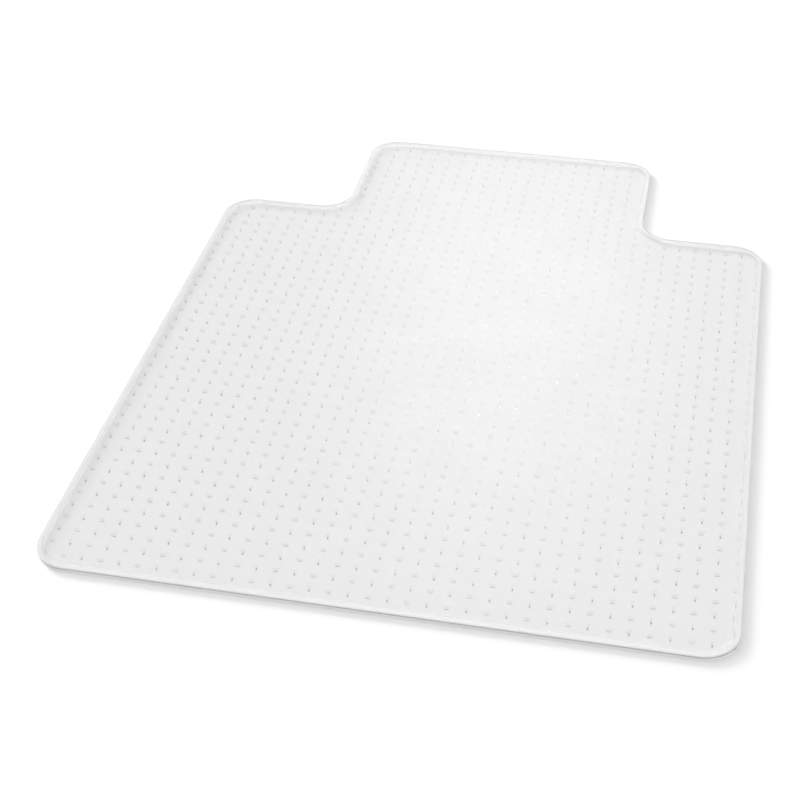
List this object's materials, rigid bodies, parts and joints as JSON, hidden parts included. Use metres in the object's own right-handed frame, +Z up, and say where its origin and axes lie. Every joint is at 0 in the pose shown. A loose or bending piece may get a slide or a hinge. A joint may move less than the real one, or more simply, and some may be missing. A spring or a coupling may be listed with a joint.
{
  "type": "chair mat",
  "caption": "Flexible clear vinyl floor mat for a rolling desk chair, with a lip that goes under the desk and wedge-shaped cleats that grip carpet.",
  "frame": {"origin": "under the centre of the whole mat's outline, at the level of the cleats' tips, where the mat stands on the floor", "axes": "+Z up out of the surface that the chair rolls on, +Y from the near edge towards the lip that goes under the desk, +X to the right"},
  "size_m": [0.9144, 1.2192, 0.0065],
  "materials": {
    "vinyl_sheet": "clear flexible vinyl, finely frosted on top",
    "vinyl_cleats": "clear flexible vinyl, as moulded"
  },
  "bodies": {
    "root": {"mat_sheet": "vinyl_sheet", "corner_cleats": "vinyl_cleats", "panel_lengthwise_cleats": "vinyl_cleats", "panel_crosswise_cleats": "vinyl_cleats", "lip_lengthwise_cleats": "vinyl_cleats", "lip_crosswise_cleats": "vinyl_cleats"}
  },
  "joints": []
}
